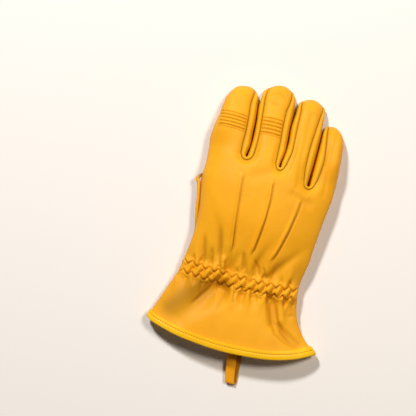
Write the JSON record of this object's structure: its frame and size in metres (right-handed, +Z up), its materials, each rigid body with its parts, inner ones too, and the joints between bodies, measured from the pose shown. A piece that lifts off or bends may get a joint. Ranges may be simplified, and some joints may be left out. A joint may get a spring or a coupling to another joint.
{
  "type": "leather work glove",
  "caption": "Right-hand leather work glove with a flared cuff, gathered wrist, ribbed knuckles, pin tucks on the back and a pull loop, lying palm down on its folded thumb.",
  "frame": {"origin": "on the surface the glove lies on, under the middle of the cuff's hem", "axes": "+Y from the cuff to the fingertips, +X toward the little finger, +Z up, out of the back of the hand"},
  "size_m": [0.1654, 0.2858, 0.0375],
  "materials": {
    "leather": "smooth grain",
    "strip_leather": "smooth grain",
    "patch_leather": "matte suede",
    "binding": "smooth",
    "loop_leather": "matte"
  },
  "bodies": {
    "root": {"back_panel": "leather", "palm_panel": "leather", "thumb": "leather", "side_strip_index_middle": "strip_leather", "side_strip_middle_ring": "strip_leather", "side_strip_ring_little": "strip_leather", "palm_patch": "patch_leather", "cuff_patch": "patch_leather", "cuff_binding": "binding", "pull_loop": "loop_leather"}
  },
  "joints": []
}
